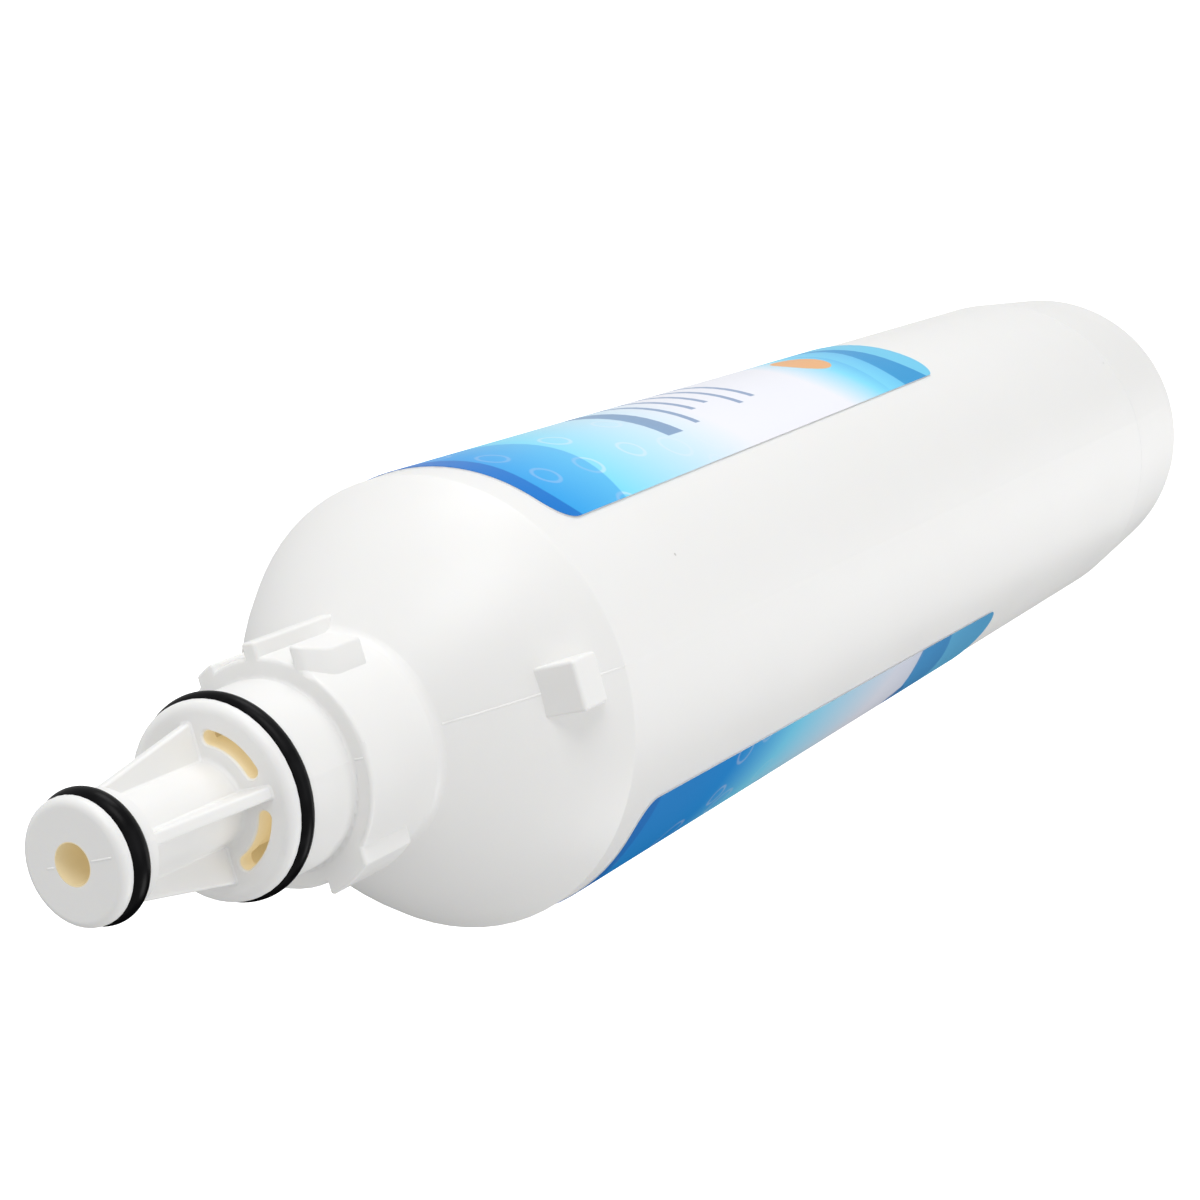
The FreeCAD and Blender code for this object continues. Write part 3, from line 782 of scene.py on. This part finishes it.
class CARTRIDGE_OT_rings(bpy.types.Operator):
    """Finish the sealing rings in black rubber"""
    bl_idname = "cartridge.rings"
    bl_label = "Sealing rings"

    def execute(self, context):
        material = black_rubber(context.scene.cartridge_colours)
        dress_nodes(material, "tip_ring", "flange_ring", "neck_ring")
        return {"FINISHED"}


class CARTRIDGE_OT_label(bpy.types.Operator):
    """Print the label film and put its adhesive under it"""
    bl_idname = "cartridge.label"
    bl_label = "Label print"

    def execute(self, context):
        colours = context.scene.cartridge_colours
        dress_nodes(label_print(colours), "label_film")
        new_piece("label_glue", label_glue(), adhesive(colours))
        return {"FINISHED"}


class CARTRIDGE_OT_filter_pack(bpy.types.Operator):
    """Finish the filter pack inside the housing"""
    bl_idname = "cartridge.filter_pack"
    bl_label = "Filter pack"

    def execute(self, context):
        colours = context.scene.cartridge_colours
        dress_nodes(inner_plastic(colours), "outlet_disc", "lower_disc")
        dress_nodes(carbon(colours), "carbon_block")
        dress_nodes(fleece(colours), "prefilter_wrap")
        return {"FINISHED"}


def picture_axes(studio):
    """The picture's own right, up and near."""
    return Euler(studio.camera_turn).to_matrix().transposed()


def studio_floor(colours, studio):
    """Round table of lit milk glass under the cartridge; it is seen, but the lamps do the lighting."""
    finish = Finish("floor")
    finish.set("Base Color", colours.floor)
    finish.set("Roughness", 0.9)
    finish.set("Specular IOR Level", 0.0)
    finish.set("Emission Color", WHITE)
    finish.set("Emission Strength", studio.floor_glow)
    shape = bmesh.new()
    bmesh.ops.create_circle(shape, cap_ends=True, segments=96, radius=studio.floor_radius)
    floor = new_object("floor", shape, finish.material)
    floor.visible_diffuse = False
    floor.visible_glossy = False
    floor.visible_shadow = False


def flag_shape(studio):
    """Flat card behind and below the cartridge that leans to face the picture's near and up."""
    right, up, near = picture_axes(studio)
    reach = studio.flag_distance
    middle = Vector((0, 0, studio.lamp_aim)) - (near + up) * reach / 2
    lean = Matrix((right, (up - near).normalized(), (near + up).normalized())).transposed().to_4x4()
    size = Matrix.Diagonal((studio.flag_width / 2, reach / math.sqrt(2), 1, 1))
    shape = bmesh.new()
    bmesh.ops.create_grid(shape, x_segments=1, y_segments=1, size=1.0)
    bmesh.ops.transform(shape, matrix=Matrix.Translation(middle) @ lean @ size, verts=shape.verts)
    return shape


def studio_flag(studio):
    """Black flag, seen only in the cartridge's gloss, that draws its lower edge."""
    finish = Finish("flag")
    finish.set("Base Color", BLACK)
    finish.set("Specular IOR Level", 0.0)
    flag = new_object("flag", flag_shape(studio), finish.material)
    flag.visible_camera = False
    flag.visible_diffuse = False
    flag.visible_shadow = False


def studio_lamp(name, studio, towards, power):
    """Large soft lamp that faces the cartridge from one side of the picture."""
    light = bpy.data.lights.new(name, "AREA")
    light.energy = power
    light.size = studio.lamp_size
    lamp = bpy.data.objects.new(name, light)
    aim = Vector((0, 0, studio.lamp_aim))
    lamp.location = aim + towards.normalized() * studio.lamp_distance
    lamp.rotation_euler = towards.to_track_quat("Z", "Y").to_euler()
    lamp.visible_camera = False
    bpy.context.scene.collection.objects.link(lamp)


def studio_light(studio):
    """Soft lamps placed by the picture's own axes, and an even sky."""
    right, up, near = picture_axes(studio)
    studio_lamp("top_lamp", studio, up, studio.top_power)
    studio_lamp("front_lamp", studio, near + up, studio.front_power)
    studio_lamp("side_lamp", studio, near + right, studio.side_power)
    studio_lamp("low_lamp", studio, right - up, studio.low_power)
    studio_lamp("left_lamp", studio, -right, studio.left_power)
    studio_lamp("back_lamp", studio, right - near * studio.back_depth, studio.back_power)
    world = bpy.data.worlds.new("studio")
    world.use_nodes = True
    sky = world.node_tree.nodes["Background"]
    sky.inputs["Color"].default_value = WHITE
    sky.inputs["Strength"].default_value = studio.sky_strength
    bpy.context.scene.world = world


def studio_camera(studio):
    """Camera at the photograph's angle."""
    camera = bpy.data.cameras.new("camera")
    camera.lens = studio.camera_lens
    camera.sensor_width = 36.0
    camera.clip_start = 0.01
    viewer = bpy.data.objects.new("camera", camera)
    viewer.location = studio.camera_place
    viewer.rotation_euler = studio.camera_turn
    bpy.context.scene.collection.objects.link(viewer)
    bpy.context.scene.camera = viewer


class CARTRIDGE_OT_stage(bpy.types.Operator):
    """Set the floor, the flag, the light and the camera"""
    bl_idname = "cartridge.stage"
    bl_label = "Studio"

    def execute(self, context):
        scene = context.scene
        studio_floor(scene.cartridge_colours, scene.cartridge_studio)
        studio_flag(scene.cartridge_studio)
        studio_light(scene.cartridge_studio)
        studio_camera(scene.cartridge_studio)
        scene.view_settings.view_transform = "Standard"
        return {"FINISHED"}


class CARTRIDGE_PT_panel(bpy.types.Panel):
    """Lists the cartridge's operators"""
    bl_idname = "CARTRIDGE_PT_panel"
    bl_label = "Water filter cartridge"
    bl_space_type = "VIEW_3D"
    bl_region_type = "UI"
    bl_category = "Cartridge"

    def draw(self, context):
        for operator in OPERATORS:
            self.layout.operator(operator.bl_idname)


OPERATORS = (
    CARTRIDGE_OT_plastic,
    CARTRIDGE_OT_moulding_marks,
    CARTRIDGE_OT_rings,
    CARTRIDGE_OT_label,
    CARTRIDGE_OT_filter_pack,
    CARTRIDGE_OT_stage,
)
CLASSES = (CartridgeSizes, CartridgeColours, StudioSettings) + OPERATORS + (CARTRIDGE_PT_panel,)


def register():
    for item in CLASSES:
        bpy.utils.register_class(item)
    bpy.types.Scene.cartridge_sizes = bpy.props.PointerProperty(type=CartridgeSizes)
    bpy.types.Scene.cartridge_colours = bpy.props.PointerProperty(type=CartridgeColours)
    bpy.types.Scene.cartridge_studio = bpy.props.PointerProperty(type=StudioSettings)


def unregister():
    del bpy.types.Scene.cartridge_studio
    del bpy.types.Scene.cartridge_colours
    del bpy.types.Scene.cartridge_sizes
    for item in reversed(CLASSES):
        bpy.utils.unregister_class(item)


def main():
    register()
    bpy.ops.cartridge.plastic()
    bpy.ops.cartridge.moulding_marks()
    bpy.ops.cartridge.rings()
    bpy.ops.cartridge.label()
    bpy.ops.cartridge.filter_pack()
    bpy.ops.cartridge.stage()


if __name__ == "__main__":
    main()
